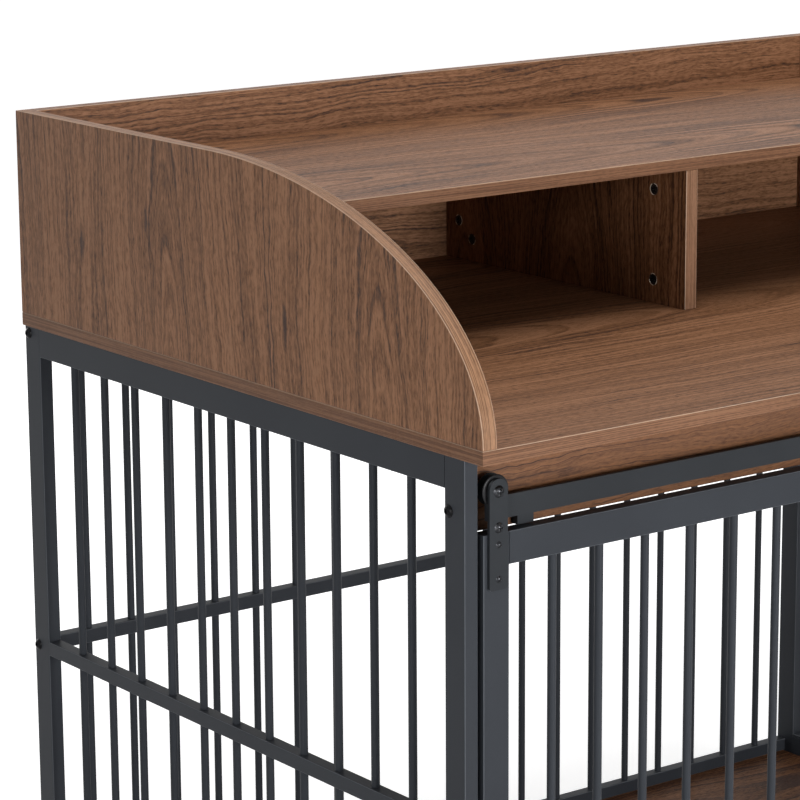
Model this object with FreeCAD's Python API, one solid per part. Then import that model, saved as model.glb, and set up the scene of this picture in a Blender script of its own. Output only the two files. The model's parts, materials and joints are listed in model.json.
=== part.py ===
import FreeCAD, Part
import math
import os

# Dog crate end table: a walnut desk with a raised shelf on a steel bar crate.
# Millimetres. X runs to the right, Y to the back and Z up.
# The origin is on the floor, under the middle of the table.
# A drop is measured down from the desktop's underside.

V = FreeCAD.Vector
X_AXIS = V(1, 0, 0)
Y_AXIS = V(0, 1, 0)
Z_AXIS = V(0, 0, 1)
parallel = 0.999            # cosine above which an edge runs along an axis

# Overall sizes
overall_width = 1095.0
overall_depth = 770.0
overall_height = 940.0

# Boards
flat_board = 13.5           # desktop and upper shelf
upright_board = 15.5        # side panels, back panel and divider
apron_board = 15.0
floor_thickness = 12.0
board_edge = 0.8            # rounding of the edge banding
hutch_height = 209.0        # side and back panels above the desktop
panel_curve_depth = 415.0   # front part of a side panel that is a quarter ellipse
shelf_depth = 402.5
shelf_clear_height = 144.5  # desktop to the shelf's underside
apron_height = 70.0
apron_setback = 44.0        # apron face behind the desktop's front edge

# Steel tube and bar
post_depth = 28.5
tube_thin = 14.5
slim_rail_height = 15.0     # middle rails and back rails
tall_rail_height = 30.0     # side top and bottom rails, front bottom rail, door rails
tube_wall = 1.2
tube_corner = 1.2
end_plate = 3.0             # threaded plate that closes a bolted rail
bar_diameter = 8.0
side_bar_count = 11
back_bar_end = 46.35        # post to the middle of the first back bar
back_bar_count = 19
grille_bar_count = 9

# Where the steel frame sits under the desktop
frame_side_inset = 2.0
frame_front_setback = 28.0
frame_back_inset = 2.0
mid_rail_share = 0.4669     # of the height under the desktop, down to the middle rails
side_bottom_rise = 27.5     # floor to the underside of the side and front bottom rails
back_bottom_rise = 32.5
foot_height = 12.5
foot_round = 1.5
foot_plug = 12.0
foot_plug_gap = 0.1

# Floor
floor_gap = 0.5             # floor board to the steel around it
ledge_width = 22.0
ledge_steel = 2.0
ledge_rise = 36.0

# Sliding door
door_thickness = 15.0
door_overhang = 2.55        # door's right edge past the center post
door_foot_gap = 10.0        # door's foot above the front rail's underside
stile_width = 28.5
door_post_gap = 5.8
door_proud = 0.5            # door face in front of the post faces
door_drop = 70.0
door_bar_count = 8

# Track and rollers
track_height = 20.5
track_steel = 4.0
track_drop = 38.5
track_front_gap = 4.0       # door face to track face
track_end_gap = 13.0        # post to the end of the track
block_width = 18.0
block_height = 21.0
block_inset = 49.5          # post to the first block
block_drop = 47.5
track_screw_bite = 6.0
groove_radius = 6.5
flange_radius = 14.4
roller_width = 9.6
groove_width = 5.0
flange_bevel = 0.9
groove_flare = 0.7
axle_radius = 3.0
axle_gap = 0.05
rolling_gap = 0.05
roller_side_gap = 0.4
washer_radius = 6.0
nut_radius = 4.8
nut_height = 2.1

# Hanger straps
strap_width = 20.0
strap_steel = 3.0
strap_length = 99.6
strap_above_axle = 11.4
strap_corner = 3.0
upper_screw_drop = 58.9     # strap top to the upper fixing screw
lower_screw_rise = 9.9      # strap foot to the lower fixing screw
pin_radius = 4.5
pin_gap = 0.6               # track underside to the lift stop pin
pin_reach = 7.5

# Door guide and bumpers
guide_length = 24.0
guide_steel = 2.5
guide_gap = 0.8
guide_lip = 15.0
bumper_gap = 0.3
bumper_height = 30.0
bumper_width = 10.0
bumper_round = 1.5
bumper_below_rail = 25.0    # middle rail's underside to the top of a bumper

# Foot bolt that drops through a keeper and holds the door shut
latch_rise = 40.0           # keeper to the middle of the latch plate
latch_plate_width = 24.0
latch_plate_height = 44.0
latch_plate_steel = 2.0
latch_plate_corner = 2.0
latch_screw_inset = 13.0    # plate end to its fixing screw
loop_length = 5.0
loop_width = 12.0
loop_reach = 10.0
loop_round = 3.5
bolt_radius = 3.0
bolt_length = 66.0
bolt_end_round = 1.0
bolt_running_gap = 0.1
bolt_tip_gap = 3.0          # raised tip above the keeper
knob_stem_radius = 2.5
knob_stem_reach = 12.0
knob_radius = 4.0
knob_stop_gap = 0.5
keeper_width = 18.0
keeper_steel = 2.5
keeper_lead = 6.0           # keeper in front of the bolt axis
keeper_gap = 0.3

# Fasteners
frame_bolt_head_radius = 6.0
frame_bolt_head_height = 3.4
frame_bolt_radius = 3.0
frame_bolt_reach = 32.0
frame_bolt_gap = 0.1
front_bolt_setback = 50.5
apron_bolt_drop = 49.0
hex_sides = 6
hex_socket = 4.0
hex_socket_depth = 1.6
screw_radius = 2.0
screw_gap = 0.05
screw_head_radius = 4.2
small_head_radius = 3.1
small_screw_reach = 10.0
axle_head_radius = 5.5
pin_head_radius = 4.75
head_rise = 0.57            # head height as a share of its radius
slot_reach = 0.6            # cross recess as shares of the head's radius
slot_width = 0.28
slot_depth = 0.3
desk_screw_first = 140.0    # desktop's front edge to the first desk screw
desk_screw_last = 154.0     # last desk screw to the desktop's back edge
desk_screw_count = 3
desk_screw_bite = 10.0
panel_screw_offset = 50.0   # end desk screws to the end panel screws
panel_screw_length = 45.0
panel_screw_head_height = 2.4
back_panel_screw_count = 3
cam_radius = 5.75
cam_depth = 11.0
cam_set_back = 25.0         # cam centre to the joint that it closes
cam_back_set = 23.0         # the same at the back panel
cam_front_inset = 50.0
cam_back_inset = 47.0
cam_back_rises = (0.3, 0.7)  # shares of the clear height under the shelf
cam_gap = 0.05
cam_bolt_radius = 3.0
cam_bolt_sink = 7.0         # bolt axis below the cam's face
cam_bolt_space = 1.0
cam_bolt_bite = 9.0

# Planes worked out from the sizes above
left = -overall_width / 2
right = overall_width / 2
front = -overall_depth / 2
back = overall_depth / 2
desk_top = overall_height - hutch_height
desk_under = desk_top - flat_board
post_left = left + frame_side_inset
inner_left = post_left + tube_thin
inner_right = -inner_left
rail_x = post_left + tube_thin / 2
front_post_front = front + frame_front_setback
front_post_back = front_post_front + post_depth
back_post_back = back - frame_back_inset
back_post_front = back_post_back - post_depth
back_rail_front = back_post_back - tube_thin
back_rail_y = back_post_back - tube_thin / 2
apron_front = front + apron_setback
apron_back = apron_front + apron_board
apron_mid = (apron_front + apron_back) / 2
apron_bottom = desk_under - apron_height
grille_front = apron_mid - tube_thin / 2
grille_back = apron_mid + tube_thin / 2
front_bolt_y = front + front_bolt_setback
side_top_low = desk_under - tall_rail_height
mid_high = desk_under * (1 - mid_rail_share)
mid_low = mid_high - slim_rail_height
side_bottom_low = side_bottom_rise
side_bottom_high = side_bottom_low + tall_rail_height
back_bottom_low = back_bottom_rise
back_bottom_high = back_bottom_low + slim_rail_height
floor_under = back_bottom_low - floor_thickness
door_front = front_post_front - door_proud
door_back = door_front + door_thickness
door_mid = (door_front + door_back) / 2
door_left = inner_left + door_post_gap
door_right = post_depth / 2 + door_overhang
door_high = desk_under - door_drop
door_low = side_bottom_low + door_foot_gap
track_front = door_front + track_front_gap
track_back = track_front + track_steel
track_mid = (track_front + track_back) / 2
track_high = desk_under - track_drop
track_low = track_high - track_height
block_high = desk_under - block_drop
block_low = block_high - block_height
roller_z = track_high + groove_radius + rolling_gap
strap_front = door_front - strap_steel
strap_high = roller_z + strap_above_axle
strap_low = strap_high - strap_length
strap_round_z = strap_high - strap_width / 2
left_strap_x = door_left + stile_width / 2
right_strap_x = door_right - stile_width / 2
pin_z = track_low - pin_gap - pin_radius
shelf_under = desk_top + shelf_clear_height
shelf_top = shelf_under + flat_board
back_panel_front = back - upright_board
shelf_front = back_panel_front - shelf_depth
divider_left = -upright_board / 2
keeper_top = side_bottom_low
latch_z = keeper_top + latch_rise
latch_face = door_front - latch_plate_steel
latch_y = latch_face - loop_reach / 2


def slab(x0, x1, y0, y1, z0, z1):
    """Plain block between two corners."""
    return Part.makeBox(x1 - x0, y1 - y0, z1 - z0, V(x0, y0, z0))


def rod(start, axis, radius, length):
    """Round bar from a point along an axis."""
    return Part.makeCylinder(radius, length, start, axis)


def edges_along(shape, axis):
    """Straight edges that run along an axis."""
    found = []
    for edge in shape.Edges:
        if isinstance(edge.Curve, Part.Line) and abs(edge.Curve.Direction.dot(axis)) > parallel:
            found.append(edge)
    return found


def tube(x0, x1, y0, y1, z0, z1, axis, plate=0.0):
    """Rectangular tube along an axis, closed by end plates where plate is thicker than zero."""
    solid = slab(x0, x1, y0, y1, z0, z1)
    solid = solid.makeFillet(tube_corner, edges_along(solid, axis))
    inset = V(tube_wall, tube_wall, tube_wall) + axis * (plate - tube_wall)
    low = V(x0, y0, z0) + inset
    high = V(x1, y1, z1) - inset
    return solid.cut(slab(low.x, high.x, low.y, high.y, low.z, high.z))


def board(x0, x1, y0, y1, z0, z1):
    """Laminated board with softly rounded banded edges."""
    solid = slab(x0, x1, y0, y1, z0, z1)
    return solid.makeFillet(board_edge, solid.Edges)


def drill(shape, tools):
    """Cut the tools whose boxes meet the shape."""
    for tool in tools:
        if shape.BoundBox.intersect(tool.BoundBox):
            shape = shape.cut(tool)
    return shape


def group(shapes):
    """Like pieces that stay separate solids."""
    solids = []
    for shape in shapes:
        solids.extend(shape.Solids)
    return Part.makeCompound(solids)


def mirrored(shape):
    """The same piece on the other side of the table."""
    return shape.mirror(V(0, 0, 0), X_AXIS)


def spread(first, last, count):
    """Evenly spaced places strictly between two ends."""
    pitch = (last - first) / (count + 1)
    return [first + pitch * (index + 1) for index in range(count)]


def save(name, shape):
    """Write one piece, or one group of like pieces, as its own file."""
    shape.exportStep(os.path.join("parts", name + ".step"))


def save_pair(name, shape):
    """Write a left piece and its mirror image."""
    save("left_" + name, shape)
    save("right_" + name, mirrored(shape))


def cross_recess(crown, outward, radius):
    """Cross recess cut inwards from the crown of a head."""
    side = X_AXIS
    if abs(outward.dot(X_AXIS)) > 0.5:
        side = Y_AXIS
    other = outward.cross(side)
    reach = radius * slot_reach
    half = radius * slot_width / 2
    arms = []
    for along, across in ((side, other), (other, side)):
        near = crown - along * reach
        far = crown + along * reach
        rim = [near - across * half, far - across * half, far + across * half, near + across * half]
        face = Part.Face(Part.makePolygon(rim + rim[:1]))
        arms.append(face.extrude(outward * (-radius * slot_depth)))
    return arms[0].fuse(arms[1])


def dome(seat, outward, radius, height):
    """Domed head: the cap of a ball that stands on its seat."""
    ball_radius = (radius ** 2 + height ** 2) / (2 * height)
    ball = Part.makeSphere(ball_radius, seat + outward * (height - ball_radius))
    return ball.common(rod(seat, outward, radius, 2 * height))


def pan_screw(seat, outward, reach, head_radius=screw_head_radius, shank_radius=screw_radius):
    """Pan head screw with a cross recess and a plain shank."""
    height = head_radius * head_rise
    head = dome(seat, outward, head_radius, height)
    body = head.fuse(rod(seat, outward * -1, shank_radius, reach)).removeSplitter()
    return body.cut(cross_recess(seat + outward * height, outward, head_radius))


def frame_bolt(seat):
    """Dome bolt with a hex socket, driven to the right through a left post."""
    outward = X_AXIS * -1
    head = dome(seat, outward, frame_bolt_head_radius, frame_bolt_head_height)
    shank = rod(seat, X_AXIS, frame_bolt_radius, frame_bolt_reach)
    crown = seat + outward * frame_bolt_head_height
    corner = V(0, hex_socket / math.sqrt(3), 0)
    rim = []
    for index in range(hex_sides + 1):
        turn = FreeCAD.Rotation(X_AXIS, 360 / hex_sides * index)
        rim.append(crown + turn.multVec(corner))
    socket = Part.Face(Part.makePolygon(rim)).extrude(X_AXIS * hex_socket_depth)
    return head.fuse(shank).removeSplitter().cut(socket)


def even_places(first, last, count):
    """Evenly spaced places from the first to the last."""
    pitch = (last - first) / (count - 1)
    return [first + pitch * index for index in range(count)]


def desk_screw_ys():
    return even_places(front + desk_screw_first, back - desk_screw_last, desk_screw_count)


def panel_screw_spots():
    """Where wood screws rise through the desktop into the side and back panels."""
    ys = desk_screw_ys()
    between = [(near + far) / 2 for near, far in zip(ys, ys[1:])]
    side_ys = [ys[0] - panel_screw_offset] + between + [ys[-1] + panel_screw_offset]
    side_x = right - upright_board / 2
    spots = [V(x, y, desk_under) for x in (-side_x, side_x) for y in side_ys]
    back_y = back - upright_board / 2
    spots += [V(x, back_y, desk_under) for x in spread(left, right, back_panel_screw_count)]
    return spots


def panel_screw(spot, gap=0.0):
    """Countersunk wood screw that rises from the desktop's underside."""
    head = Part.makeCone(screw_head_radius + gap, screw_radius + gap, panel_screw_head_height, spot)
    shank = rod(spot, Z_AXIS, screw_radius + gap, panel_screw_length + gap)
    return head.fuse(shank).removeSplitter()


def cam_spots():
    """Face centre, face direction, bolt direction and set-back of each cam lock."""
    spots = []
    face = X_AXIS * -1
    down = Z_AXIS * -1
    side_x = right - upright_board - cam_set_back
    for y in (shelf_front + cam_front_inset, back_panel_front - cam_back_inset):
        spots.append((V(divider_left, y, desk_top + cam_set_back), face, down, cam_set_back))
        spots.append((V(divider_left, y, shelf_under - cam_set_back), face, Z_AXIS, cam_set_back))
        spots.append((V(-side_x, y, shelf_under), down, face, cam_set_back))
        spots.append((V(side_x, y, shelf_under), down, X_AXIS, cam_set_back))
    for rise in cam_back_rises:
        spot = V(divider_left, back_panel_front - cam_back_set, desk_top + rise * shelf_clear_height)
        spots.append((spot, face, Y_AXIS, cam_back_set))
    return spots


def cam_bolt(centre, outward, direction, set_back, gap=0.0):
    """Connecting bolt from beside a cam through the joint into the next board."""
    clear = cam_radius + cam_bolt_space - gap
    start = centre - outward * cam_bolt_sink + direction * clear
    return rod(start, direction, cam_bolt_radius + gap, set_back + cam_bolt_bite - clear + gap)


def cam_lock(centre, outward):
    disc = rod(centre, outward * -1, cam_radius, cam_depth)
    return disc.cut(cross_recess(centre, outward, cam_radius))


def joinery():
    """Every pocket and hole that the hutch fasteners need."""
    tools = [panel_screw(spot, screw_gap) for spot in panel_screw_spots()]
    for centre, outward, direction, set_back in cam_spots():
        tools.append(cam_bolt(centre, outward, direction, set_back, cam_gap))
        tools.append(rod(centre, outward * -1, cam_radius + cam_gap, cam_depth + cam_gap))
    return tools


def side_panel():
    """Flat top at the back, then a quarter ellipse down to the desktop's front edge."""
    curve_y = front + panel_curve_depth
    front_foot = V(left, front, desk_top)
    crest = V(left, curve_y, overall_height)
    ellipse = Part.Ellipse(front_foot, crest, V(left, curve_y, desk_top))
    curve = Part.Arc(ellipse, 0, math.pi / 2).toShape()
    back_top = V(left, back, overall_height)
    back_foot = V(left, back, desk_top)
    straight = Part.makePolygon([crest, back_top, back_foot, front_foot])
    outline = Part.Wire(Part.__sortEdges__([curve] + straight.Edges))
    panel = Part.Face(outline).extrude(X_AXIS * upright_board)
    return panel.makeFillet(board_edge, panel.Edges)


def make_hutch():
    """Desktop, side panels, back panel, shelf and divider."""
    tools = joinery()
    inside = right - upright_board
    top = drill(board(left, right, front, back, desk_under, desk_top), tools)
    for x in (rail_x, -rail_x):
        for y in desk_screw_ys():
            hole = rod(V(x, y, desk_under), Z_AXIS, screw_radius + screw_gap, desk_screw_bite + screw_gap)
            top = top.cut(hole)
    save("desktop", top)
    save_pair("side_panel", drill(side_panel(), tools))
    rear = board(-inside, inside, back_panel_front, back, desk_top, overall_height)
    save("back_panel", drill(rear, tools))
    shelf = board(-inside, inside, shelf_front, back_panel_front, shelf_under, shelf_top)
    save("upper_shelf", drill(shelf, tools))
    divider = board(divider_left, -divider_left, shelf_front, back_panel_front, desk_top, shelf_under)
    save("shelf_divider", drill(divider, tools))


def make_hutch_fasteners():
    save("cam_locks", group([cam_lock(spot[0], spot[1]) for spot in cam_spots()]))
    save("cam_bolts", group([cam_bolt(*spot) for spot in cam_spots()]))
    save("panel_screws", group([panel_screw(spot) for spot in panel_screw_spots()]))
    reach = tall_rail_height + desk_screw_bite
    screws = []
    for x in (rail_x, -rail_x):
        for y in desk_screw_ys():
            screws.append(pan_screw(V(x, y, side_top_low), Z_AXIS * -1, reach))
    save("desk_screws", group(screws))


def frame_bolt_seats():
    """Seat of each dome bolt on the left posts, level with the piece that it holds."""
    return [
        V(post_left, back_rail_y, desk_under - slim_rail_height / 2),
        V(post_left, back_rail_y, (mid_high + mid_low) / 2),
        V(post_left, back_rail_y, (back_bottom_high + back_bottom_low) / 2),
        V(post_left, front_bolt_y, desk_under - apron_bolt_drop),
        V(post_left, front_bolt_y, (side_bottom_high + side_bottom_low) / 2),
    ]


def frame_bolt_holes(gap):
    holes = []
    for seat in frame_bolt_seats():
        hole = rod(seat, X_AXIS, frame_bolt_radius + gap, frame_bolt_reach + gap)
        holes += [hole, mirrored(hole)]
    return holes


def make_frame_bolts():
    bolts = [frame_bolt(seat) for seat in frame_bolt_seats()]
    save("frame_bolts", group(bolts + [mirrored(bolt) for bolt in bolts]))


def make_posts():
    holes = frame_bolt_holes(frame_bolt_gap)
    for place, y in (("front_post", front_post_front), ("back_post", back_post_front)):
        post = tube(post_left, inner_left, y, y + post_depth, foot_height, desk_under, Z_AXIS)
        save_pair(place, drill(post, holes))


def side_rail(low, high):
    return tube(post_left, inner_left, front_post_back, back_post_front, low, high, Y_AXIS)


def make_side_frames():
    """Rails and bars between the posts of each side."""
    top = side_rail(side_top_low, desk_under)
    for y in desk_screw_ys():
        top = top.cut(rod(V(rail_x, y, side_top_low), Z_AXIS, screw_radius + screw_gap, tall_rail_height))
    save_pair("top_rail", top)
    save_pair("middle_rail", side_rail(mid_low, mid_high))
    save_pair("bottom_rail", side_rail(side_bottom_low, side_bottom_high))
    places = [(rail_x, y) for y in spread(front_post_back, back_post_front, side_bar_count)]
    save_pair("upper_bars", upright_bars(places, mid_high, side_top_low))
    save_pair("lower_bars", upright_bars(places, side_bottom_high, mid_low))


def upright_bars(places, low, high):
    return group([rod(V(x, y, low), Z_AXIS, bar_diameter / 2, high - low) for x, y in places])


def bolted_rail(y0, y1, low, high):
    """Rail from post to post whose end plates take the dome bolts."""
    rail = tube(inner_left, inner_right, y0, y1, low, high, X_AXIS, end_plate)
    return drill(rail, frame_bolt_holes(screw_gap))


def make_back_frame():
    top_low = desk_under - slim_rail_height
    save("back_top_rail", bolted_rail(back_rail_front, back_post_back, top_low, desk_under))
    save("back_middle_rail", bolted_rail(back_rail_front, back_post_back, mid_low, mid_high))
    low = back_bottom_low
    save("back_bottom_rail", bolted_rail(back_rail_front, back_post_back, low, back_bottom_high))
    first = inner_left + back_bar_end
    places = [(x, back_rail_y) for x in even_places(first, -first, back_bar_count)]
    save("back_upper_bars", upright_bars(places, mid_high, top_low))
    save("back_lower_bars", upright_bars(places, back_bottom_high, mid_low))


def make_front_frame():
    """Bottom rail, center post and the fixed grille in the right half."""
    save("front_bottom_rail", bolted_rail(grille_front, grille_back, side_bottom_low, side_bottom_high))
    half = post_depth / 2
    post = tube(-half, half, grille_front, grille_back, side_bottom_high, apron_bottom, Z_AXIS)
    save("front_center_post", post)
    low = apron_bottom - slim_rail_height
    rail = tube(half, inner_right, grille_front, grille_back, low, apron_bottom, X_AXIS)
    save("grille_top_rail", rail)
    places = [(x, apron_mid) for x in spread(half, inner_right, grille_bar_count)]
    save("grille_bars", upright_bars(places, side_bottom_high, low))


def make_feet():
    """Plastic glides: a pad under each post and a plug inside it."""
    margin = tube_wall + foot_plug_gap
    feet = []
    for y in (front_post_front, back_post_front):
        pad = slab(post_left, inner_left, y, y + post_depth, 0, foot_height)
        rim = [edge for edge in pad.Edges if edge.BoundBox.ZMax < foot_height / 2]
        pad = pad.makeFillet(foot_round, rim)
        x0 = post_left + margin
        y0 = y + margin
        top = foot_height + foot_plug
        plug = slab(x0, inner_left - margin, y0, y + post_depth - margin, foot_height, top)
        foot = pad.fuse(plug)
        feet += [foot, mirrored(foot)]
    save("post_feet", group(feet))


def make_floor():
    """Floor board on an angle ledge along each bottom side rail."""
    y0 = grille_back + floor_gap
    low = floor_under - ledge_steel
    leg = slab(inner_left, inner_left + ledge_steel, y0, back_post_front, low, low + ledge_rise)
    lip = slab(inner_left, inner_left + ledge_width, y0, back_post_front, low, floor_under)
    ledge = leg.fuse(lip).removeSplitter()
    save("floor_ledges", group([ledge, mirrored(ledge)]))
    side = inner_right - ledge_steel - floor_gap
    save("floor_board", slab(-side, side, y0, back_rail_y, floor_under, back_bottom_low))


def strap_screw_seats(x):
    heights = (strap_high - upper_screw_drop, strap_low + lower_screw_rise)
    return [V(x, strap_front, z) for z in heights]


def latch_screw_seats():
    reach = latch_plate_height / 2 - latch_screw_inset
    side = latch_plate_width / 4 + small_head_radius / 2
    return [
        V(left_strap_x - side, latch_face, latch_z + reach),
        V(left_strap_x + side, latch_face, latch_z - reach),
    ]


def door_screw_seats():
    return strap_screw_seats(left_strap_x) + strap_screw_seats(right_strap_x) + latch_screw_seats()


def door_screw_holes():
    radius = screw_radius + screw_gap
    return [rod(seat, Y_AXIS, radius, small_screw_reach + screw_gap) for seat in door_screw_seats()]


def make_door_frame():
    holes = door_screw_holes()
    inner_x0 = door_left + stile_width
    inner_x1 = door_right - stile_width
    for name, x in (("door_left_stile", door_left), ("door_right_stile", inner_x1)):
        x1 = x + stile_width
        stile = tube(x, x1, door_front, door_back, door_low, door_high, Z_AXIS, tube_wall)
        save(name, drill(stile, holes))
    high_low = door_high - tall_rail_height
    low_high = door_low + tall_rail_height
    top = tube(inner_x0, inner_x1, door_front, door_back, high_low, door_high, X_AXIS)
    save("door_top_rail", top)
    bottom = tube(inner_x0, inner_x1, door_front, door_back, door_low, low_high, X_AXIS)
    save("door_bottom_rail", bottom)
    places = [(x, door_mid) for x in spread(inner_x0, inner_x1, door_bar_count)]
    save("door_bars", upright_bars(places, low_high, high_low))
    screws = []
    for seat in door_screw_seats():
        screws.append(pan_screw(seat, Y_AXIS * -1, small_screw_reach, small_head_radius))
    save("door_screws", group(screws))


def make_track():
    """Apron, flat bar track and the blocks that hold the track off the apron."""
    first = inner_left + block_inset + block_width / 2
    centres = (first, 0.0, -first)
    reach = apron_board + track_screw_bite
    seats = [V(x, apron_back, (block_high + block_low) / 2) for x in centres]
    screws = [pan_screw(seat, Y_AXIS, reach) for seat in seats]
    holes = [rod(seat, Y_AXIS * -1, screw_radius + screw_gap, reach + screw_gap) for seat in seats]
    blocks = []
    for x in centres:
        x0 = x - block_width / 2
        block = slab(x0, x0 + block_width, track_back, apron_front, block_low, block_high)
        blocks.append(drill(block, holes))
    apron = board(inner_left, inner_right, apron_front, apron_back, apron_bottom, desk_under)
    save("apron", drill(apron, holes + frame_bolt_holes(screw_gap)))
    x0 = inner_left + track_end_gap
    save("door_track", slab(x0, -x0, track_front, track_back, track_low, track_high))
    save("track_blocks", group(blocks))
    save("track_screws", group(screws))


def hanger_strap(x):
    """Strap with a round top, small lower corners and holes for its pins and screws."""
    half = strap_width / 2
    start = V(x - half, strap_front, strap_round_z)
    end = V(x + half, strap_front, strap_round_z)
    arc = Part.Arc(start, V(x, strap_front, strap_high), end)
    low_right = V(x + half, strap_front, strap_low)
    low_left = V(x - half, strap_front, strap_low)
    sides = Part.makePolygon([end, low_right, low_left, start])
    plate = Part.Face(Part.Wire([arc.toShape()] + sides.Edges)).extrude(Y_AXIS * strap_steel)
    low_edges = [edge for edge in edges_along(plate, Y_AXIS) if edge.BoundBox.ZMax < strap_low + strap_corner]
    plate = plate.makeFillet(strap_corner, low_edges)
    holes = door_screw_holes()
    holes.append(rod(V(x, strap_front, roller_z), Y_AXIS, axle_radius + screw_gap, strap_steel))
    holes.append(rod(V(x, strap_front, pin_z), Y_AXIS, screw_radius + screw_gap, strap_steel))
    return drill(plate, holes)


def roller(x):
    """Grooved wheel that rolls on the track's top edge."""
    half = roller_width / 2
    groove = groove_width / 2
    bore = axle_radius + axle_gap
    upper = [
        (groove_radius, groove),
        (flange_radius, groove + groove_flare),
        (flange_radius, half - flange_bevel),
        (flange_radius - flange_bevel, half),
        (bore, half),
    ]
    lower = [(radius, -offset) for radius, offset in reversed(upper)]
    rim = [V(x + radius, track_mid + offset, roller_z) for radius, offset in lower + upper]
    face = Part.Face(Part.makePolygon(rim + rim[:1]))
    return face.revolve(V(x, track_mid, roller_z), Y_AXIS, 360)


def make_hangers():
    """Straps, rollers, axle screws with washers and nuts, and lift stop pins."""
    washer_back = track_mid - roller_width / 2 - roller_side_gap
    nut_front = track_mid + roller_width / 2 + roller_side_gap
    axles = []
    washers = []
    nuts = []
    pins = []
    for side, x in (("left", left_strap_x), ("right", right_strap_x)):
        save(side + "_hanger_strap", hanger_strap(x))
        save(side + "_roller", roller(x))
        seat = V(x, strap_front, roller_z)
        reach = nut_front + nut_height - strap_front
        axle = pan_screw(seat, Y_AXIS * -1, reach, axle_head_radius, axle_radius)
        axles.append(axle)
        washer = rod(V(x, door_front, roller_z), Y_AXIS, washer_radius, washer_back - door_front)
        washers.append(washer.cut(axle))
        nuts.append(rod(V(x, nut_front, roller_z), Y_AXIS, nut_radius, nut_height).cut(axle))
        pin_seat = V(x, strap_front, pin_z)
        screw = pan_screw(pin_seat, Y_AXIS * -1, strap_steel, pin_head_radius)
        sleeve = rod(V(x, door_front, pin_z), Y_AXIS, pin_radius, pin_reach)
        pins.append(screw.fuse(sleeve).removeSplitter())
    save("axle_screws", group(axles))
    save("roller_washers", group(washers))
    save("axle_nuts", group(nuts))
    save("lift_stop_pins", group(pins))


def make_door_guide():
    """Bent plate under the front rail whose lip keeps the door's foot from swinging out."""
    half = guide_length / 2
    lip_back = door_front - guide_gap
    lip_front = lip_back - guide_steel
    low = side_bottom_low - guide_steel
    base = slab(-half, half, lip_front, grille_back, low, side_bottom_low)
    lip = slab(-half, half, lip_front, lip_back, low, side_bottom_low + guide_lip)
    save("door_guide", base.fuse(lip).removeSplitter())


def make_bumpers():
    """Rubber pads on the posts that the door's stiles meet."""
    half = bumper_width / 2
    x1 = inner_left + door_post_gap - bumper_gap
    high = mid_low - bumper_below_rail
    pad = slab(inner_left, x1, door_mid - half, door_mid + half, high - bumper_height, high)
    rim = [edge for edge in edges_along(pad, Y_AXIS) if edge.BoundBox.XMin > (inner_left + x1) / 2]
    pad = pad.makeFillet(bumper_round, rim)
    save("door_bumpers", group([pad, mirrored(pad)]))


def latch_loop(low):
    """Loop on the latch plate that the bolt slides through."""
    half = loop_width / 2
    x0 = left_strap_x - half
    y0 = latch_face - loop_reach
    loop = slab(x0, x0 + loop_width, y0, latch_face, low, low + loop_length)
    nose = [edge for edge in edges_along(loop, Z_AXIS) if edge.BoundBox.YMax < latch_y]
    loop = loop.makeFillet(loop_round, nose)
    bore = rod(V(left_strap_x, latch_y, low), Z_AXIS, bolt_radius + bolt_running_gap, loop_length)
    return loop.cut(bore)


def make_latch():
    """Foot bolt in its plate, and the keeper that it drops through."""
    half_width = latch_plate_width / 2
    low = latch_z - latch_plate_height / 2
    high = latch_z + latch_plate_height / 2
    x0 = left_strap_x - half_width
    plate = slab(x0, x0 + latch_plate_width, latch_face, door_front, low, high)
    plate = plate.makeFillet(latch_plate_corner, edges_along(plate, Y_AXIS))
    upper_loop_low = high - loop_length
    plate = plate.fuse([latch_loop(low), latch_loop(upper_loop_low)]).removeSplitter()
    save("latch_plate", drill(plate, door_screw_holes()))
    tip = V(left_strap_x, latch_y, keeper_top + bolt_tip_gap)
    bolt = rod(tip, Z_AXIS, bolt_radius, bolt_length)
    ends = [edge for edge in bolt.Edges if isinstance(edge.Curve, Part.Circle)]
    bolt = bolt.makeFillet(bolt_end_round, ends)
    stem_z = upper_loop_low - knob_stop_gap - knob_stem_radius
    stem = rod(V(left_strap_x, latch_y, stem_z), Y_AXIS * -1, knob_stem_radius, knob_stem_reach)
    knob = Part.makeSphere(knob_radius, V(left_strap_x, latch_y - knob_stem_reach, stem_z))
    save("latch_bolt", bolt.fuse([stem, knob]).removeSplitter())
    x0 = left_strap_x - keeper_width / 2
    y0 = latch_y - keeper_lead
    low = keeper_top - keeper_steel
    keeper = slab(x0, x0 + keeper_width, y0, grille_back, low, keeper_top)
    hole = rod(V(left_strap_x, latch_y, low), Z_AXIS, bolt_radius + keeper_gap, keeper_steel)
    save("latch_keeper", keeper.cut(hole))


def main():
    os.makedirs("parts", exist_ok=True)
    make_hutch()
    make_hutch_fasteners()
    make_posts()
    make_side_frames()
    make_back_frame()
    make_front_frame()
    make_frame_bolts()
    make_feet()
    make_floor()
    make_door_frame()
    make_track()
    make_hangers()
    make_door_guide()
    make_bumpers()
    make_latch()


main()
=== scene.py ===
import json
import math
from dataclasses import dataclass

import bmesh
import bpy
from mathutils import Matrix, Vector


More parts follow.
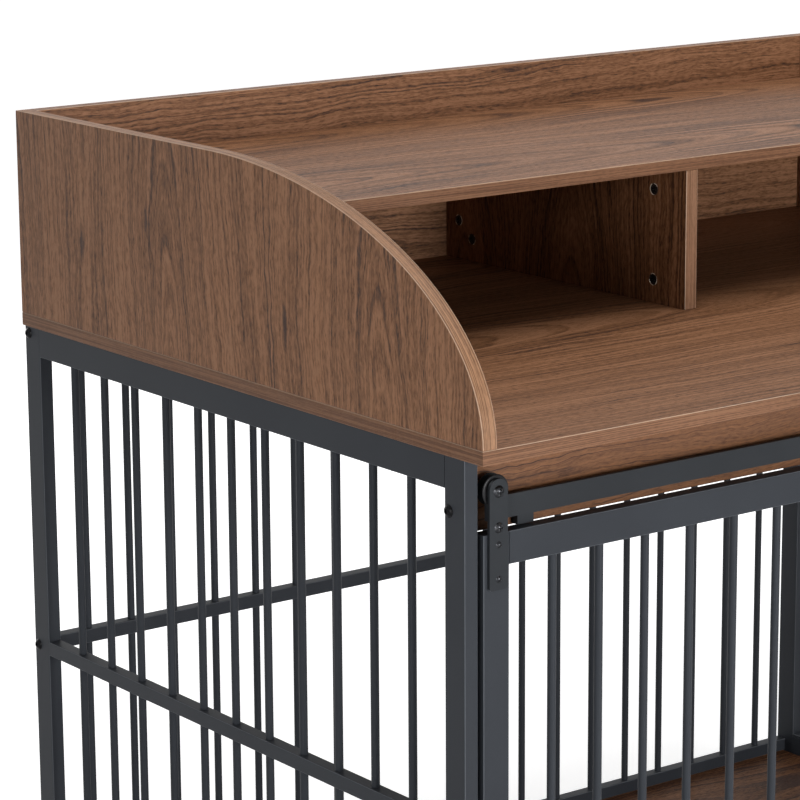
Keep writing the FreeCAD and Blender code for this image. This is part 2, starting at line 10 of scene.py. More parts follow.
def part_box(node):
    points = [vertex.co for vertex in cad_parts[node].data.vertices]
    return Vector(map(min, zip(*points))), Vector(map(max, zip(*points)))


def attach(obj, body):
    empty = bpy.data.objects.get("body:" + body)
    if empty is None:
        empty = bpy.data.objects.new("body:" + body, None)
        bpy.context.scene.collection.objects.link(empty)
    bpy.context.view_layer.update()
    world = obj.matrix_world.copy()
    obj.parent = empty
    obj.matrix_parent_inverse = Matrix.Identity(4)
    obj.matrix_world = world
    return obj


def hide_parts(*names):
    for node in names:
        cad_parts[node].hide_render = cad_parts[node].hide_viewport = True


# Dog crate end table: walnut laminate boards on a charcoal powder-coated steel crate.
# Metres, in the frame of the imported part: X right, Y back, Z up, origin on the floor.

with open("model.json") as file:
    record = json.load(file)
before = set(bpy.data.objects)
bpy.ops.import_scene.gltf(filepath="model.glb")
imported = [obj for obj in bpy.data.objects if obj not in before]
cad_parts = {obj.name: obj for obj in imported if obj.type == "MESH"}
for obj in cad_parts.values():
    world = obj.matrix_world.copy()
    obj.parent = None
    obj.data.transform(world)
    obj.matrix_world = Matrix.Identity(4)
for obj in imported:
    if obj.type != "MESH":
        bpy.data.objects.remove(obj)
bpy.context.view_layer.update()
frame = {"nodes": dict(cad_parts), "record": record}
nodes = frame["nodes"]

# Camera, set to the photograph's view of the upper left part
EYE = Vector((-2.1763, -2.4609, 1.3790))
HEADING = 36.604            # degrees from +Y towards +X
PITCH = 12.869              # degrees below level
ROLL = -0.367
FOCAL_PIXELS = 3217.2
FRAME_PIXELS = 800
SENSOR = 36.0               # millimetres
CLIP_NEAR = 0.05
CLIP_FAR = 100.0

# Walnut laminate, linear colours
WALNUT_BASE = (0.163, 0.071, 0.030)
WALNUT_LIGHT = (0.300, 0.145, 0.074)
WALNUT_DARK = (0.036, 0.015, 0.009)
BAND_LIGHT = (0.205, 0.100, 0.052)
BAND_DARK = (0.105, 0.045, 0.021)
PALE_BAND_LIGHT = (0.320, 0.172, 0.094)
PALE_BAND_DARK = (0.138, 0.068, 0.035)
DIVIDER_BAND_LIGHT = (0.260, 0.136, 0.078)
# Painted highlight along the boards' rounded corners that face up
PAINTED_ARRIS_HIGHLIGHT = (0.500, 0.360, 0.260)
CHIP_PALE = (0.820, 0.720, 0.600)
CHIP_BROWN = (0.070, 0.038, 0.024)

# Walnut figure: noise cycles a metre along the grain and across it
SWAY_GRAIN = (1.7, 2.4)
RIPPLE_GRAIN = (11.0, 20.0)
CURL_GRAIN = (55.0, 60.0)
BAND_GRAIN = (1.0, 38.0)
STREAK_GRAIN = (2.4, 300.0)
FIBRE_GRAIN = (14.0, 760.0)
FLECK_GRAIN = (110.0, 430.0)
JITTER_GRAIN = (2.0, 55.0)
RING_STRENGTH_GRAIN = (2.2, 30.0)
PORE_GRAIN = (130.0, 800.0)

# How much the finer layers of a noise count
FIBROUS = 0.7
SOFT = 0.6

# How strongly each part of the figure lightens or darkens the wood
MEAN_TONE = 0.62
BAND_DEPTH = 1.08
STREAK_DEPTH = 1.62
FIBRE_DEPTH = 1.02
FLECK_DEPTH = 1.10
PORE_DEPTH = 0.30
KNOT_DEPTH = 0.75
RIPPLE_REACH = 0.012        # metres
RING_JITTER = 4.8           # rings
KNOT_STRETCH = 6.0
KNOT_FADE = (0.15, 1.0)     # parts of the knot's width

# Ring lines: parts of one ring, then how dark a line is at its faintest and how much more it gets
RING_PEAK = 0.93
RING_DROP = (0.94, 1.0)
RING_FAINTEST = 0.10
RING_GAIN = 0.44
RING_GAIN_RANGE = (-0.12, 0.18)
PORE_RANGE = (-0.16, 0.0)   # noise values from a full pore to none

# Edge band: noise cycles a metre along the edge and through the board
EDGE_LINE_GRAIN = (5.0, 1100.0)
EDGE_SPECK_GRAIN = (160.0, 900.0)
EDGE_LINE_DEPTH = 6.0
EDGE_SPECK_DEPTH = 1.6

# How squarely a surface faces out: laminate or band, and the rounded corner between them, which gets a
# painted highlight
FACE_RANGE = (0.30, 0.60)
ARRIS_START = (0.05, 0.30)
ARRIS_END = (0.80, 0.97)
ARRIS_UPWARD = (-0.30, -0.05)   # upward part of the normal: a corner that faces down gets no painted highlight
ARRIS_DEPTH = 0.75

# Gloss and relief of the walnut
WOOD_ROUGHNESS = 0.50
PORE_ROUGHNESS = 0.12
STREAK_ROUGHNESS = 0.18
FIBRE_RELIEF = 1.2
RELIEF_STRENGTH = 0.12      # the powder coat's too
WOOD_RELIEF = 0.0003        # metres

# Steel and plastic, linear colours
STEEL = (0.026, 0.029, 0.035)
STEEL_PALE = (0.036, 0.040, 0.047)
# Painted highlight on the tubes' rounded corners
STEEL_HIGHLIGHT = (0.125, 0.136, 0.152)
STRIP_STEEL = (0.017, 0.019, 0.022)
STRIP_STEEL_PALE = (0.025, 0.028, 0.032)
OXIDE = (0.004, 0.004, 0.005)
OXIDE_WORN = (0.016, 0.016, 0.018)
ZINC = (0.026, 0.027, 0.030)
ZINC_WORN = (0.100, 0.100, 0.106)
BLACK = (0.008, 0.008, 0.009)
RUBBER = (0.012, 0.012, 0.012)

# Powder coat: noise cycles a metre, and how much each kind shows
PEEL_SCALE = 900.0
CLOUD_SCALE = 9.0
SPECK_SCALE = 2600.0
CLOUD_RANGE = (0.3, 0.7)
SPECK_RANGE = (0.35, 0.65)
CLOUD_DEPTH = 0.35
SPECK_DEPTH = 0.3
# Rounded corners of the tubes: where the normal lies between the axes, and how strongly a painted
# highlight shows there
CORNER_RANGE = (0.74, 0.98)
CORNER_HIGHLIGHT_DEPTH = 0.85
COAT_GLOSS = 0.1
COAT_ROUGHNESS = 0.46
PEEL_ROUGHNESS = 0.12
COAT_RELIEF = 0.0002        # metres

# Screws, mouldings and raw board: noise cycles a metre, and how much each kind shows
WEAR_SCALE = 420.0
WEAR_RANGE = (0.45, 0.75)
WEAR_ROUGHNESS = 0.2
WEAR_STRENGTH = 0.06
MOULD_SCALE = 1500.0
MOULD_DEPTH = 0.3
MOULD_ROUGHNESS = 0.14
MOULD_STRENGTH = 0.08
FINE_RELIEF = 0.0001        # metres
BARE_SCALE = 170.0
BARE_RANGE = (0.44, 0.60)
CHIP_SCALE = 1400.0
CHIP_LEAST = 0.4
RAW_ROUGHNESS = 0.70
CHIP_ROUGHNESS = 0.2

# Rollers, metres
AXLE_SEAT = 0.0036
BOSS_RADIUS = 0.0058
WEB_DISH = 0.0005
WEB_INNER = 0.0062
WEB_OUTER = 0.0096
FLANGE_INNER = 0.0102
# Steps of the rounded flange: how far in from its side, and how far below its rim
FLANGE_ROUNDING = ((0.0, 0.0014), (0.0002, 0.0006), (0.0006, 0.0001), (0.0010, 0.0), (0.0014, 0.0003))
GROOVE_TOP = (0.0029, 0.0110)   # half the groove's width there, and the radius
GROOVE_FLOOR = 0.0065
GROOVE_FILLET = 0.0004
FILLET_HALF_WIDTH = 0.0025
FLOOR_HALF_WIDTH = 0.0021
ROLLER_SIDES = 96

# Chipped lips of the drilled pockets, metres
RIM_RADIUS = 0.0060
RIM_THICK = 0.0005
RIM_FLATTEN = 0.35          # thickness across the board, as a part of the ring's own
RIM_SIDES = 40
RIM_TUBE_SIDES = 8

SMOOTH_ANGLE = 35.0         # degrees
SAME_POINT = 1e-6           # metres
Y_AXIS = Vector((0.0, 1.0, 0.0))
TURN_TO_X = (0, math.pi / 2, 0)
TURN_TO_Y = (math.pi / 2, 0, 0)
NO_TURN = (0, 0, 0)

# Studio
WHITE = (1.0, 1.0, 1.0)
NO_LIGHT = (0.0, 0.0, 0.0)
FLOOR_COLOUR = (0.80, 0.80, 0.80)
FLOOR_CLOUD = (0.75, 0.75, 0.75)
FLOOR_GLOW = (0.62, 0.62, 0.62)
FLOOR_FADE_START = 0.9      # metres from the object's middle
FLOOR_FADE_END = 2.2
FLOOR_CLOUD_SCALE = 6.0
FLOOR_CLOUD_DEPTH = 0.01
FLOOR_ROUGHNESS = 0.9
FLOOR_GLOSS = 0.1
WORLD_FILL = 0.015
STUDIO_SIZE = 60.0
LAMP_AIM = (0.0, 0.0, 0.6)


class Socket:
    """A shader value that arithmetic can be done on."""

    def __init__(self, shader, socket):
        self.shader = shader
        self.socket = socket

    def _math(self, operation, *values):
        return self.shader.node("ShaderNodeMath", {"operation": operation}, values)

    def __add__(self, other):
        return self._math("ADD", self, other)

    def __radd__(self, other):
        return self._math("ADD", other, self)

    def __sub__(self, other):
        return self._math("SUBTRACT", self, other)

    def __rsub__(self, other):
        return self._math("SUBTRACT", other, self)

    def __mul__(self, other):
        return self._math("MULTIPLY", self, other)

    def __rmul__(self, other):
        return self._math("MULTIPLY", other, self)

    def __truediv__(self, other):
        return self._math("DIVIDE", self, other)

    def __rtruediv__(self, other):
        return self._math("DIVIDE", other, self)

    def __abs__(self):
        return self._math("ABSOLUTE", self)

    def root(self):
        return self._math("SQRT", self)

    def fraction(self):
        return self._math("FRACT", self)

    def smaller(self, other):
        return self._math("MINIMUM", self, other)

    def larger(self, other):
        return self._math("MAXIMUM", self, other)

    def step(self, low, high):
        """0 below low, 1 above high and smooth between."""
        settings = {"interpolation_type": "SMOOTHSTEP"}
        values = {"Value": self, "From Min": low, "From Max": high}
        return self.shader.node("ShaderNodeMapRange", settings, values)


class Shader:
    """The nodes of a material or of the world, built up by calls."""

    def __init__(self, owner):
        owner.use_nodes = True
        self.owner = owner
        self.tree = owner.node_tree
        self.surface = self.tree.nodes.get("Principled BSDF")

    def node(self, kind, settings=None, values=(), output=0):
        """Add a node: its settings first, then the values or links of its sockets."""
        made = self.tree.nodes.new(kind)
        for name, value in (settings or {}).items():
            setattr(made, name, value)
        pairs = values.items() if isinstance(values, dict) else enumerate(values)
        for key, value in pairs:
            self.put(made.inputs[key], value)
        if isinstance(output, tuple):
            return [Socket(self, made.outputs[name]) for name in output]
        return Socket(self, made.outputs[output])

    def put(self, target, value):
        if isinstance(value, Socket):
            self.tree.links.new(value.socket, target)
        elif isinstance(value, tuple) and len(target.default_value) == 4:
            target.default_value = (*value[:3], 1.0)
        else:
            target.default_value = value

    def set(self, **values):
        """Set the surface's sockets by name."""
        for name, value in values.items():
            self.put(self.surface.inputs[name.replace("_", " ")], value)

    def position(self):
        return self.node("ShaderNodeTexCoord", output="Object")

    def split(self, vector):
        """The three parts of a vector."""
        return self.node("ShaderNodeSeparateXYZ", {}, (vector,), ("X", "Y", "Z"))

    def normal(self):
        """Which way the surface faces, in three parts."""
        return self.split(self.node("ShaderNodeNewGeometry", output="Normal"))

    def facing(self):
        """How squarely the surface faces along X, Y and Z."""
        return [abs(part) for part in self.normal()]

    def join(self, x, y, z):
        return self.node("ShaderNodeCombineXYZ", {}, (x, y, z))

    def noise(self, vector, scale, detail=2.0, roughness=0.5):
        values = {"Vector": vector, "Scale": scale, "Detail": detail, "Roughness": roughness}
        return self.node("ShaderNodeTexNoise", {}, values)

    def grain_noise(self, along, across, grain, shift, detail=2.0, roughness=0.5):
        """Noise drawn out along the grain and centred on zero."""
        place = self.join(along * grain[0], across * grain[1], shift)
        return self.noise(place, 1.0, detail, roughness) - 0.5

    def blend(self, factor, first, second):
        """Colour mix of two colours."""
        return self.node("ShaderNodeMix", {"data_type": "RGBA"}, {0: factor, 6: first, 7: second}, 2)

    def bump(self, height, strength, distance):
        values = {"Height": height, "Strength": strength, "Distance": distance}
        self.set(Normal=self.node("ShaderNodeBump", {}, values))


def new_shader(name):
    return Shader(bpy.data.materials.new(name))


@dataclass
class BoardLook:
    """What the walnut of one board shows."""

    shift: float                # place of its noise, so that no two boards match
    hearts: tuple               # places across the grain where the log's heart lies
    start: float                # place along the grain where the heart meets the face
    lean: float = 0.11          # how fast the heart sinks away from there
    wander: float = 0.090       # how far the rings stray, metres
    curl: float = 0.0024        # fine wave of the rings, metres
    rings: float = 170.0        # rings a metre
    ring_front: float = 0.45    # share of a ring that stays light
    lift: float = 0.0           # lighter above zero
    contrast: float = 1.0
    veins: float = 1.0          # darkness of the ring lines
    gloss: float = 0.2
    knots: tuple = ()           # place across, place along and width of each knot
    band_light: tuple = BAND_LIGHT
    band_dark: tuple = BAND_DARK


def wood_place(shader, look, along, across):
    """Place across the grain, bent by the figure's slow sway, ripple and curl."""
    sway = shader.grain_noise(along, across, SWAY_GRAIN, look.shift) * look.wander
    ripple = shader.grain_noise(along, across, RIPPLE_GRAIN, look.shift + 1.0) * RIPPLE_REACH
    curl = shader.grain_noise(along, across, CURL_GRAIN, look.shift + 1.5, 1.0) * look.curl
    return across + sway + ripple + curl


def heart_distance(look, along, place):
    """Distance from the heart of the log, whose rings the face cuts into arches."""
    nearest = abs(place - look.hearts[0])
    for heart in look.hearts[1:]:
        nearest = nearest.smaller(abs(place - heart))
    rise = (along - look.start) * look.lean
    return (nearest * nearest + rise * rise).root()


def knot_shade(look, along, across):
    """Small dark knots with a streak drawn out along the grain."""
    shade = 0.0
    for knot_across, knot_along, width in look.knots:
        side = (across - knot_across) / width
        reach = (along - knot_along) / (width * KNOT_STRETCH)
        shade = shade + (1.0 - (side * side + reach * reach).root().step(*KNOT_FADE))
    return shade


def edge_band(shader, look, along, across, depth):
    """Edge banding: lines that run along the edge, and specks."""
    long, through = EDGE_LINE_GRAIN
    lines = shader.noise(shader.join(along * long, across * long, depth * through), 1.0, 3.0, SOFT) - 0.5
    long, through = EDGE_SPECK_GRAIN
    specks = shader.noise(shader.join(along * long, across * long, depth * through), 1.0) - 0.5
    tone = 0.5 + lines * EDGE_LINE_DEPTH + specks * EDGE_SPECK_DEPTH
    return shader.blend(tone, look.band_dark, look.band_light)


def walnut(name, grain, face, middle, look):
    """Walnut laminate: ring lines and arches, soft colour bands, fine fibres, pores, a banded edge and a
    painted highlight on its upward rounded corners.
    """
    shader = new_shader(name)
    parts = dict(zip("XYZ", shader.split(shader.position())))
    along = parts.pop(grain)
    depth = parts.pop(face) - middle
    across = parts.popitem()[1]
    place = wood_place(shader, look, along, across)
    rings_at = heart_distance(look, along, place)

    # Each kind of noise has a slice of its own, so that no two line up
    bands = shader.grain_noise(along, rings_at, BAND_GRAIN, look.shift + 2.0, 3.0, SOFT)
    streaks = shader.grain_noise(along, rings_at, STREAK_GRAIN, look.shift + 3.0, 3.0, FIBROUS)
    fibres = shader.grain_noise(along, place, FIBRE_GRAIN, look.shift + 4.0, 2.0, FIBROUS)
    flecks = shader.grain_noise(along, place, FLECK_GRAIN, look.shift + 8.0, 2.0, SOFT)
    jitter = shader.grain_noise(along, rings_at, JITTER_GRAIN, look.shift + 5.0) * RING_JITTER
    strength = shader.grain_noise(along, rings_at, RING_STRENGTH_GRAIN, look.shift + 6.0)
    pores = shader.grain_noise(along, place, PORE_GRAIN, look.shift + 7.0, 2.0, SOFT)

    turn = (rings_at * look.rings + jitter).fraction()
    line = turn.step(look.ring_front, RING_PEAK) * (1.0 - turn.step(*RING_DROP))
    line = line * (RING_FAINTEST + strength.step(*RING_GAIN_RANGE) * RING_GAIN) * look.veins
    pore = 1.0 - pores.step(*PORE_RANGE)
    figure = bands * BAND_DEPTH + streaks * STREAK_DEPTH + fibres * FIBRE_DEPTH + flecks * FLECK_DEPTH
    tone = (MEAN_TONE + look.lift) + figure * look.contrast - line
    tone = tone - pore * (PORE_DEPTH * look.contrast)
    if look.knots:
        tone = tone - knot_shade(look, along, place) * KNOT_DEPTH
    # The lower half of the tone runs from dark to base, the upper half from base to light
    colour = shader.blend(tone * 2.0, WALNUT_DARK, WALNUT_BASE)
    colour = shader.blend(tone * 2.0 - 1.0, colour, WALNUT_LIGHT)

    facing = shader.facing()["XYZ".index(face)]
    band = edge_band(shader, look, along, across, depth)
    colour = shader.blend(1.0 - facing.step(*FACE_RANGE), colour, band)
    # Painted highlight: the rounded corner between laminate and band, where it faces up, is blended
    # towards a pale colour
    arris_highlight = facing.step(*ARRIS_START) * (1.0 - facing.step(*ARRIS_END))
    arris_highlight = arris_highlight * shader.normal()[2].step(*ARRIS_UPWARD)
    colour = shader.blend(arris_highlight * ARRIS_DEPTH, colour, PAINTED_ARRIS_HIGHLIGHT)
    shader.set(Base_Color=colour, Specular_IOR_Level=look.gloss)
    shader.set(Roughness=WOOD_ROUGHNESS + pore * PORE_ROUGHNESS - streaks * STREAK_ROUGHNESS)
    shader.bump(fibres * FIBRE_RELIEF - pore - line, RELIEF_STRENGTH, WOOD_RELIEF)
    return shader.owner


def powder_coat(name, corner_highlight, dark=STEEL, pale=STEEL_PALE):
    """Powder-coated steel: fine orange peel, a slight cloudiness and a painted highlight on rounded
    corners.
    """
    shader = new_shader(name)
    place = shader.position()
    peel = shader.noise(place, PEEL_SCALE, 2.0, SOFT)
    cloud = shader.noise(place, CLOUD_SCALE)
    speck = shader.noise(place, SPECK_SCALE, 1.0)
    tone = cloud.step(*CLOUD_RANGE) * CLOUD_DEPTH + speck.step(*SPECK_RANGE) * SPECK_DEPTH
    colour = shader.blend(tone, dark, pale)
    if corner_highlight:
        x, y, z = shader.facing()
        # Painted highlight: rounded corners, whose normal lies between the axes, are blended towards a
        # pale grey
        corner = 1.0 - x.larger(y).larger(z).step(*CORNER_RANGE)
        colour = shader.blend(corner * corner_highlight, colour, STEEL_HIGHLIGHT)
    shader.set(Base_Color=colour, Specular_IOR_Level=COAT_GLOSS)
    shader.set(Roughness=COAT_ROUGHNESS + (peel - 0.5) * PEEL_ROUGHNESS)
    shader.bump(peel, RELIEF_STRENGTH, COAT_RELIEF)
    return shader.owner


def screw_finish(name, colour, worn, metallic, gloss, roughness):
    """Blackened steel of screws and bolts, a little worn."""
    shader = new_shader(name)
    wear = shader.noise(shader.position(), WEAR_SCALE, 3.0, SOFT)
    shader.set(Base_Color=shader.blend(wear.step(*WEAR_RANGE), colour, worn))
    shader.set(Metallic=metallic, Specular_IOR_Level=gloss)
    shader.set(Roughness=roughness + (wear - 0.5) * WEAR_ROUGHNESS)
    shader.bump(wear, WEAR_STRENGTH, FINE_RELIEF)
    return shader.owner


def moulded(name, colour, gloss, roughness):
    """Moulded plastic or rubber with a faint texture."""
    shader = new_shader(name)
    grain = shader.noise(shader.position(), MOULD_SCALE)
    mixed = shader.blend(grain * MOULD_DEPTH, colour, OXIDE)
    shader.set(Base_Color=mixed, Specular_IOR_Level=gloss)
    shader.set(Roughness=roughness + (grain - 0.5) * MOULD_ROUGHNESS)
    shader.bump(grain, MOULD_STRENGTH, FINE_RELIEF)
    return shader.owner


def chipboard(name):
    """Raw board that shows in places at a drilled edge."""
    shader = new_shader(name)
    place = shader.position()
    bare = shader.noise(place, BARE_SCALE, 1.0).step(*BARE_RANGE)
    chips = shader.noise(place, CHIP_SCALE, 3.0, SOFT)
    shader.set(Base_Color=shader.blend(bare * (CHIP_LEAST + chips), CHIP_BROWN, CHIP_PALE))
    shader.set(Roughness=RAW_ROUGHNESS + (chips - 0.5) * CHIP_ROUGHNESS)
    return shader.owner


def paint(material, *names):
    """Give CAD nodes a material."""
    for name in names:
        slots = nodes[name].data.materials
        slots.clear()
        slots.append(material)


def finish_board(name, grain, face, **looks):
    """Walnut for one board, with its edge band worked out from the board's own box."""
    low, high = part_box(name)
    axis = "XYZ".index(face)
    middle = (high[axis] + low[axis]) / 2
    paint(walnut(name + "_walnut", grain, face, middle, BoardLook(**looks)), name)


def finish_boards():
    finish_board(
        "desktop", "X", "Z", shift=0.0, hearts=(-0.46, -0.02, 0.30), start=-1.9,
        lean=0.05, wander=0.04, lift=0.15,
    )
    finish_board(
        "upper_shelf", "X", "Z", shift=3.1, hearts=(0.06, 0.33), start=-1.3, lean=0.05, wander=0.05,
    )
    finish_board(
        "back_panel", "X", "Y", shift=5.7, hearts=(0.70, 0.99), start=-1.6,
        lean=0.03, wander=0.04, lift=0.20, gloss=0.3,
    )
    # The apron's lift of -0.20 is painted shade: it darkens the board that sits back under the desktop's
    # overhang
    finish_board(
        "apron", "X", "Y", shift=8.3, hearts=(0.672,), start=-0.55, lean=0.05, wander=0.16,
        curl=0.004, rings=95.0, ring_front=0.78, lift=-0.20, contrast=0.4, veins=1.5,
    )
    finish_board(
        "floor_board", "X", "Z", shift=11.9, hearts=(-0.25, 0.05, 0.28), start=-1.6,
        lean=0.05, wander=0.06, lift=-0.18, gloss=0.1,
    )
    finish_board(
        "shelf_divider", "Z", "X", shift=14.2, hearts=(0.15, 0.33), start=0.4, wander=0.06,
        band_light=DIVIDER_BAND_LIGHT, band_dark=PALE_BAND_DARK,
    )
    finish_board(
        "left_side_panel", "Z", "X", shift=17.4, hearts=(0.096, -0.235, 0.40), start=0.62,
        curl=0.0040, lift=0.08, contrast=1.1,
        knots=((0.255, 0.819, 0.005), (-0.093, 0.794, 0.005), (0.130, 0.858, 0.004)),
        band_light=PALE_BAND_LIGHT, band_dark=PALE_BAND_DARK,
    )
    finish_board(
        "right_side_panel", "Z", "X", shift=20.6, hearts=(0.17, -0.17), start=0.60,
        curl=0.0040, lift=0.08, contrast=1.1,
        band_light=PALE_BAND_LIGHT, band_dark=PALE_BAND_DARK,
    )


def finish_metal():
    tube_coat = powder_coat("charcoal_powder_coat", CORNER_HIGHLIGHT_DEPTH)
    bar_coat = powder_coat("charcoal_bar_coat", 0.0)
    strip_coat = powder_coat("charcoal_strip_coat", CORNER_HIGHLIGHT_DEPTH, STRIP_STEEL, STRIP_STEEL_PALE)
    oxide = screw_finish("black_oxide", OXIDE, OXIDE_WORN, metallic=0.0, gloss=0.08, roughness=0.26)
    zinc = screw_finish("dark_zinc", ZINC, ZINC_WORN, metallic=1.0, gloss=0.5, roughness=0.30)
    by_slot = {
        "dark_zinc": zinc,
        "black_plastic": moulded("black_nylon", BLACK, gloss=0.2, roughness=0.34),
        "black_rubber": moulded("black_rubber", RUBBER, gloss=0.3, roughness=0.62),
    }
    for part in frame["record"]["subparts"]:
        name = part["node"]
        slot = part["material_slot"]
        if slot == "charcoal_steel":
            paint(bar_coat if "bars" in name else tube_coat, name)
        elif slot in by_slot:
            paint(by_slot[slot], name)
    paint(strip_coat, "door_track", "track_blocks", "left_hanger_strap", "right_hanger_strap")
    paint(oxide, "frame_bolts", "panel_screws", "desk_screws", "track_screws")


def islands(name):
    """Lowest and highest corner of each separate solid in a CAD node."""
    mesh = bmesh.new()
    mesh.from_mesh(nodes[name].data)
    bmesh.ops.remove_doubles(mesh, verts=mesh.verts, dist=SAME_POINT)
    left = set(mesh.verts)
    boxes = []
    while left:
        group = [left.pop()]
        for vert in group:
            for edge in vert.link_edges:
                other = edge.other_vert(vert)
                if other in left:
                    left.remove(other)
                    group.append(other)
        low = Vector([min(v.co[axis] for v in group) for axis in range(3)])
        high = Vector([max(v.co[axis] for v in group) for axis in range(3)])
        boxes.append((low, high))
    mesh.free()
    return sorted(boxes, key=lambda box: tuple(box[0]))


def settle(piece, name, material, body):
    """Finish a new piece: place in its mesh, rounded look, material and body."""
    piece.name = name
    piece.data.name = name
    bpy.ops.object.select_all(action="DESELECT")
    piece.select_set(True)
    bpy.context.view_layer.objects.active = piece
    bpy.ops.object.transform_apply(location=True, rotation=True, scale=True)
    bpy.ops.object.shade_smooth_by_angle(angle=math.radians(SMOOTH_ANGLE))
    piece.data.materials.clear()
    piece.data.materials.append(material)
    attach(piece, body)


def turned(centre, stations):
    """Closed round shape drawn out along Y; each station is how far along and how wide."""
    bpy.ops.object.select_all(action="DESELECT")
    along, radius = stations[0]
    bpy.ops.mesh.primitive_circle_add(
        vertices=ROLLER_SIDES, radius=radius, fill_type="NGON", rotation=TURN_TO_Y,
        location=centre + Y_AXIS * along,
    )
    piece = bpy.context.object
    bpy.ops.object.mode_set(mode="EDIT")
    for next_along, next_radius in stations[1:]:
        bpy.ops.mesh.extrude_region_move(
            TRANSFORM_OT_translate={"value": Y_AXIS * (next_along - along)}
        )
        bpy.ops.transform.resize(value=(next_radius / radius,) * 3)
        along, radius = next_along, next_radius
    bpy.ops.mesh.select_all(action="SELECT")
    bpy.ops.mesh.normals_make_consistent(inside=False)
    bpy.ops.object.mode_set(mode="OBJECT")
    return piece


def roller_profile(width, rim):
    """Stations of a moulded roller: hub boss, dished web, round-edged flanges and a V-sided groove."""
    half = width / 2
    hub = [
        (half, AXLE_SEAT), (half, BOSS_RADIUS), (half - WEB_DISH, WEB_INNER),
        (half - WEB_DISH, WEB_OUTER), (half, FLANGE_INNER),
    ]
    flange = [(half - inward, rim - below) for inward, below in FLANGE_ROUNDING]
    groove = [
        GROOVE_TOP, (FILLET_HALF_WIDTH, GROOVE_FLOOR + GROOVE_FILLET), (FLOOR_HALF_WIDTH, GROOVE_FLOOR),
    ]
    side = hub + flange + groove
    return [(-along, radius) for along, radius in side] + side[::-1]


def make_rollers(plastic):
    """Moulded rollers in place of the plain ones."""
    for side in ("left", "right"):
        low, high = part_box(side + "_roller")
        middle = (low + high) / 2
        stations = roller_profile(high.y - low.y, (high.z - low.z) / 2)
        piece = turned(middle, stations)
        settle(piece, side + "_roller_moulding", plastic, side + "_wheel")
        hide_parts(side + "_roller")


def make_cam_rims(lip):
    """Chipped lip of the drilled pocket round each cam lock."""
    for number, (low, high) in enumerate(islands("cam_locks")):
        size = high - low
        middle = (low + high) / 2
        sideways = size.x < size.z
        if sideways:
            seat = Vector((low.x, middle.y, middle.z))
            turn = TURN_TO_X
            flat = (RIM_FLATTEN, 1, 1)
        else:
            seat = Vector((middle.x, middle.y, low.z))
            turn = NO_TURN
            flat = (1, 1, RIM_FLATTEN)
        bpy.ops.object.select_all(action="DESELECT")
        bpy.ops.mesh.primitive_torus_add(
            major_segments=RIM_SIDES, minor_segments=RIM_TUBE_SIDES,
            major_radius=RIM_RADIUS, minor_radius=RIM_THICK, location=seat, rotation=turn,
        )
        piece = bpy.context.object
        bpy.ops.object.mode_set(mode="EDIT")
        bpy.ops.transform.resize(value=flat)
        bpy.ops.object.mode_set(mode="OBJECT")
        settle(piece, f"cam_pocket_lip_{number + 1}", lip, "crate")


def place_camera():
    """Camera at the photograph's place, with no shift."""
    data = bpy.data.cameras.new("camera")
    data.sensor_width = SENSOR
    data.lens = FOCAL_PIXELS / FRAME_PIXELS * SENSOR
    data.clip_start = CLIP_NEAR
    data.clip_end = CLIP_FAR
    camera = bpy.data.objects.new("camera", data)
    bpy.context.scene.collection.objects.link(camera)
    turn = Matrix.Rotation(math.radians(-HEADING), 4, "Z")
    tilt = Matrix.Rotation(math.radians(90.0 - PITCH), 4, "X")
    roll = Matrix.Rotation(math.radians(ROLL), 4, "Z")
    camera.matrix_world = Matrix.Translation(EYE) @ turn @ tilt @ roll
    bpy.context.scene.camera = camera


def seen_directly(shader):
    """1 where the camera, a reflection or clear material looks, 0 for light that bounces."""
    rays = ("Is Camera Ray", "Is Glossy Ray", "Is Transmission Ray")
    camera, glossy, clear = shader.node("ShaderNodeLightPath", output=rays)
    return camera + glossy + clear


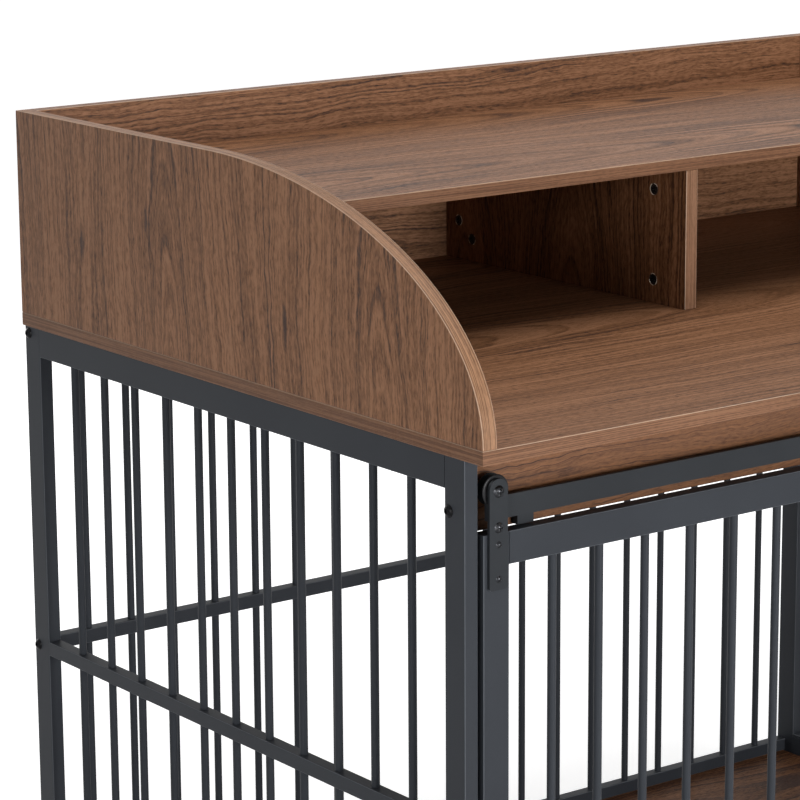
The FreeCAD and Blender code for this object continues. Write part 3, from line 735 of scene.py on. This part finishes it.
def floor_paint(name):
    """Plain floor that looks white where no shadow falls and fades into the white surroundings."""
    shader = new_shader(name)
    place = shader.position()
    x, y, _ = shader.split(place)
    away = (x * x + y * y).root().step(FLOOR_FADE_START, FLOOR_FADE_END)
    glow = shader.blend(away, FLOOR_GLOW, WHITE)
    cloud = shader.noise(place, FLOOR_CLOUD_SCALE) * FLOOR_CLOUD_DEPTH
    shader.set(Base_Color=shader.blend(cloud, FLOOR_COLOUR, FLOOR_CLOUD))
    shader.set(Roughness=FLOOR_ROUGHNESS, Specular_IOR_Level=FLOOR_GLOSS, Emission_Strength=1.0)
    shader.set(Emission_Color=shader.blend(seen_directly(shader), NO_LIGHT, glow))
    return shader.owner


def build_floor():
    bpy.ops.object.select_all(action="DESELECT")
    bpy.ops.mesh.primitive_plane_add(size=STUDIO_SIZE, location=(0, 0, 0))
    floor = bpy.context.object
    floor.name = "studio_floor"
    floor.data.materials.append(floor_paint("floor_paint"))


def build_surroundings():
    """White to look at, with only a little light of its own."""
    world = bpy.data.worlds.new("studio")
    bpy.context.scene.world = world
    shader = Shader(world)
    shader.tree.nodes.clear()
    fill = shader.node("ShaderNodeBackground", {}, (WHITE, WORLD_FILL))
    white = shader.node("ShaderNodeBackground", {}, (WHITE, 1.0))
    mix = shader.node("ShaderNodeMixShader", {}, (seen_directly(shader), fill, white))
    shader.node("ShaderNodeOutputWorld", {}, (mix,), ())


def add_lamp(name, place, size, power):
    """Square soft box that points at the object: size in metres, power in watts."""
    data = bpy.data.lights.new(name, "AREA")
    data.shape = "SQUARE"
    data.size = size
    data.energy = power
    lamp = bpy.data.objects.new(name, data)
    bpy.context.scene.collection.objects.link(lamp)
    lamp.location = place
    lamp.rotation_mode = "QUATERNION"
    lamp.rotation_quaternion = (Vector(LAMP_AIM) - Vector(place)).to_track_quat("-Z", "Y")


def light_studio():
    add_lamp("front_softbox", (0.1, -3.6, 0.80), size=0.95, power=92.0)
    add_lamp("low_left_softbox", (-2.6, -1.9, 0.36), size=0.9, power=12.0)
    add_lamp("left_softbox", (-3.1, -1.8, 1.2), size=0.8, power=25.0)
    add_lamp("top_softbox", (0.0, -0.3, 3.6), size=2.2, power=70.0)
    add_lamp("right_softbox", (3.4, 0.2, 1.2), size=1.8, power=26.0)
    add_lamp("back_softbox", (-0.4, 3.4, 1.4), size=1.8, power=30.0)


finish_boards()
finish_metal()
make_rollers(moulded("black_roller", BLACK, gloss=0.15, roughness=0.30))
make_cam_rims(chipboard("pocket_edge"))
place_camera()
build_floor()
build_surroundings()
light_studio()
bpy.context.scene.view_settings.view_transform = "Standard"
